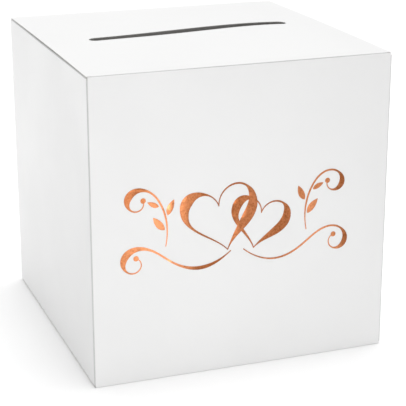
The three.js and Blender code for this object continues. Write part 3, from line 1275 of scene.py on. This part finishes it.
@dataclass(frozen=True)
class Closure:
    """One end of the box: its panel, tuck flap and two dust flaps, with the folds that hinge them."""

    workshop: Workshop
    end: End
    bow: Bow
    tuck_reach: float = 117 * MM
    tuck_tilt: float = math.radians(4.0)
    dust_front: float = -118.3 * MM
    dust_back: float = 116.9 * MM
    flap_bow: Bow = Bow(-0.5 * MM)

    @property
    def name(self) -> str:
        """The first word of this end's nodes."""
        return self.end.name.lower()

    @property
    def out(self) -> Vector:
        """The way that this end faces."""
        return Z * self.end.value

    def build(self) -> None:
        """Makes the panel, the tuck flap and the dust flaps."""
        self.panel()
        self.tuck_flap()
        for side in (-1, 1):
            self.dust_flap(side)

    def level(self, depth: float) -> Vector:
        """A point on the box's own upright axis.

        Args:
            depth: How far it lies inside this end.

        Returns:
            The point.
        """
        low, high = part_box(self.name + "_panel")
        outer = high.z if self.end is End.LID else low.z
        return Vector((0, 0, outer)) - self.out * depth

    def panel(self) -> None:
        """The panel, cut at its sides and round the slot, and its hinge on the back wall."""
        facing = Facing(middle_of(self.name + "_panel"), X * self.end.value, Y)
        low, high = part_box(self.name + "_panel")
        raw = within(Y, low.y + SLACK, high.y - SLACK)
        if self.end is End.LID:
            self.workshop.flap(Panel("lid_panel", "lid", facing, raw, self.bow, Lip()))
        else:
            self.workshop.wall(Panel("base_panel", "base", facing, raw, self.bow))
        centre, reach = self.level(Board.depth) + Y * Board.crease, Board.crease
        bodies = ("sleeve", self.name)
        self.workshop.fold(Fold(f"fold_{self.name}_hinge", centre, Y, self.out, -reach, reach, bodies))

    def tuck_flap(self) -> None:
        """The flap that goes in behind the front wall, and its fold."""
        node = self.name + "_tuck_flap"
        turn = math.pi / 2 + self.tuck_tilt
        along = self.out * math.cos(self.tuck_tilt) - Y * math.sin(self.tuck_tilt)
        facing = Facing(middle_of(node), X * self.end.value, along)
        body = self.name + "_tuck"
        raw = beyond(-self.out, -self.level(Board.depth + SLACK).dot(self.out))
        self.workshop.flap(Panel(node, body, facing, raw, self.flap_bow))
        depth = Board.thickness / 2 + Board.setback / math.tan(turn / 2)
        centre = self.level(depth) - Y * Board.one_in
        first = self.out
        second = (-Y * math.cos(self.tuck_tilt) - self.out * math.sin(self.tuck_tilt)).normalized()
        reach = self.tuck_reach
        name = f"fold_{self.name}_tuck"
        self.workshop.fold(Fold(name, centre, first, second, -reach, reach, (self.name, body), turn))

    def dust_flap(self, side: int) -> None:
        """A dust flap and its fold on the side wall.

        Args:
            side: -1 for the left or 1 for the right.
        """
        word = "left" if side < 0 else "right"
        node = f"{self.name}_dust_flap_{word}"
        body = f"{self.name}_dust_{word}"
        facing = Facing(middle_of(node), X * self.end.value, Y)
        raw = beyond(X * -side, SLACK - Board.crease)
        self.workshop.flap(Panel(node, body, facing, raw, self.flap_bow))
        centre = self.level(2 * Board.depth) + X * side * Board.crease
        name = f"fold_{self.name}_dust_{word}"
        ends = (self.dust_front, self.dust_back)
        self.workshop.fold(Fold(name, centre, X * side, self.out, *ends, ("sleeve", body)))


@dataclass(frozen=True)
class Ornament:
    """The foil on the front wall, each stamping lying on the wall's bow."""

    workshop: Workshop
    bow: Bow
    cell: float = 6 * MM
    easing: float = 0.03 * MM

    def build(self) -> None:
        """Lays every stamping on the wall."""
        low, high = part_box("front_wall")
        middle, half = middle_of("front_wall"), (high - low) / 2
        for node in sorted(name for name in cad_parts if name.startswith("foil_")):
            mesh = flat_copy(node)
            cut_grid(mesh, (X, Z), self.cell)
            ease_edges(mesh, self.easing, all_raw)
            for corner in mesh.vertices:
                u, v = (corner.co.x - middle.x) / half.x, (corner.co.z - middle.z) / half.z
                corner.co.y -= self.bow.at(u, v)
            mesh.materials.append(self.workshop.materials.foil)
            made = self.workshop.finish(node.replace("foil_", "stamped_"), mesh, "rose_foil")
            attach(made, "sleeve")
            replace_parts(made, node)


# --------------------------------------------------------------------------------------------- studio


class LampKind(Enum):
    """The kinds of lamp, and for each the name of the property that makes it soft."""

    AREA = "size"
    SUN = "angle"
    POINT = "shadow_soft_size"


@dataclass(frozen=True)
class Lamp:
    """A soft lamp that shines at a point. Its softness is a size, or an angle for a distant one."""

    name: str
    kind: LampKind
    place: tuple[float, float, float]
    target: tuple[float, float, float]
    softness: float
    power: float

    def build(self) -> None:
        """Hangs the lamp and turns it to its target. The camera doesn't see it."""
        light = bpy.data.lights.new(self.name, self.kind.name)
        setattr(light, self.kind.value, self.softness)
        light.energy = self.power
        lamp = bpy.data.objects.new(self.name, light)
        aim(lamp, self.place, self.target)
        lamp.visible_camera = False


def aim(thing: bpy.types.Object, place: Iterable[float], target: Iterable[float]) -> None:
    """Puts a lamp, card or camera in the scene and turns it.

    Args:
        thing: Its object.
        place: Where it hangs or stands.
        target: The point that it faces.
    """
    thing.location = place
    thing.rotation_euler = (Vector(target) - thing.location).to_track_quat("-Z", "Y").to_euler()
    bpy.context.scene.collection.objects.link(thing)


def square(name: str, reach: float, height: float, material: bpy.types.Material) -> bpy.types.Object:
    """A flat square of the studio, which isn't part of the box.

    Args:
        name: What it is called.
        reach: Half the length of its sides.
        height: How high it lies in its own coordinates.
        material: Its finish.

    Returns:
        Its object, which isn't in the scene yet.
    """
    corners = [(x * reach, y * reach, height) for x, y in ((-1, -1), (1, -1), (1, 1), (-1, 1))]
    mesh = bpy.data.meshes.new(name)
    mesh.from_pydata(corners, [], [(0, 1, 2, 3)])
    mesh.materials.append(material)
    return bpy.data.objects.new(name, mesh)


@dataclass(frozen=True)
class Flag:
    """A square black card that keeps some of the room's light off the box. The camera doesn't see it."""

    name: str
    place: tuple[float, float, float]
    target: tuple[float, float, float]
    size: float

    def build(self) -> None:
        """Hangs the card and turns it to its target."""
        card = square(self.name, self.size / 2, 0.0, CardFinish().material())
        aim(card, self.place, self.target)
        card.visible_camera = False


@dataclass(frozen=True)
class Studio:
    """A white room with soft lamps, a pale floor, a glow inside the box, and the camera."""

    air: float = 0.6
    lamps: tuple[Lamp, ...] = (
        Lamp("overhead light", LampKind.SUN, (0.35, 0.12, 3.0), (0.0, 0.0, 0.0), math.radians(50.0), 2.07),
        Lamp("low front lamp", LampKind.AREA, (-0.05, -0.62, 0.07), (0.04, -0.12, 0.0), 0.16, 0.47),
        Lamp("left lamp", LampKind.AREA, (-0.55, 0.5, 0.09), (-0.12, 0.14, 0.0), 0.16, 0.5),
        Lamp("glow through the board", LampKind.POINT, (0.0, 0.0, 0.12), (0.0, 0.0, 0.0), 0.03, 0.045),
    )
    flag: Flag = Flag("right flag", (0.36, -0.4, 0.5), (0.12, -0.12, 0.24), 0.3)
    floor_drop: float = 0.2 * MM
    floor_reach: float = 8.0
    eye: tuple[float, float, float] = (-0.36909, -1.03065, 0.45908)
    look_at: tuple[float, float, float] = (-0.03284, -0.12, 0.1373)
    lens: float = 121.8

    def build(self) -> None:
        """Makes the room, the floor, the lamps, the card and the camera."""
        self.room()
        self.floor()
        for item in (*self.lamps, self.flag):
            item.build()
        self.camera()

    def room(self) -> None:
        """Sets the room's light, which is softer on the box than the white that shows behind it."""
        scene = bpy.context.scene
        scene.view_settings.view_transform = "Standard"
        scene.world = bpy.data.worlds.new("white room")
        scene.world.use_nodes = True
        tree = Tree(scene.world.node_tree)
        background = next(node for node in tree.tree.nodes if node.type == "BACKGROUND")
        seen = tree.add("ShaderNodeLightPath").outputs["Is Camera Ray"]
        tree.feed(background.inputs["Color"], WHITE)
        tree.feed(background.inputs["Strength"], tree.ramp(seen, 0.0, 1.0, self.air, 1.0))

    def floor(self) -> None:
        """Lays the floor just below the box."""
        floor = square("floor", self.floor_reach, -self.floor_drop, FloorFinish().material())
        bpy.context.scene.collection.objects.link(floor)

    def camera(self) -> None:
        """Stands the camera where it sees the front, the left side and the top."""
        data = bpy.data.cameras.new("camera")
        data.lens = self.lens
        camera = bpy.data.objects.new("camera", data)
        aim(camera, self.eye, self.look_at)
        bpy.context.scene.camera = camera


# ----------------------------------------------------------------------------------------------- main


def main() -> None:
    """Builds the box, piece by piece, and then the studio."""
    logging.basicConfig(level=logging.INFO, format="%(name)s: %(message)s")
    workshop = Workshop(Materials())
    sleeve = Sleeve(workshop)
    sleeve.build()
    Closure(workshop, End.LID, Bow(height=4.5 * MM, lean=0.48, sides=0.14)).build()
    Closure(workshop, End.BASE, Bow(height=-0.8 * MM)).build()
    Ornament(workshop, sleeve.front).build()
    Studio().build()


if __name__ == "__main__":
    main()
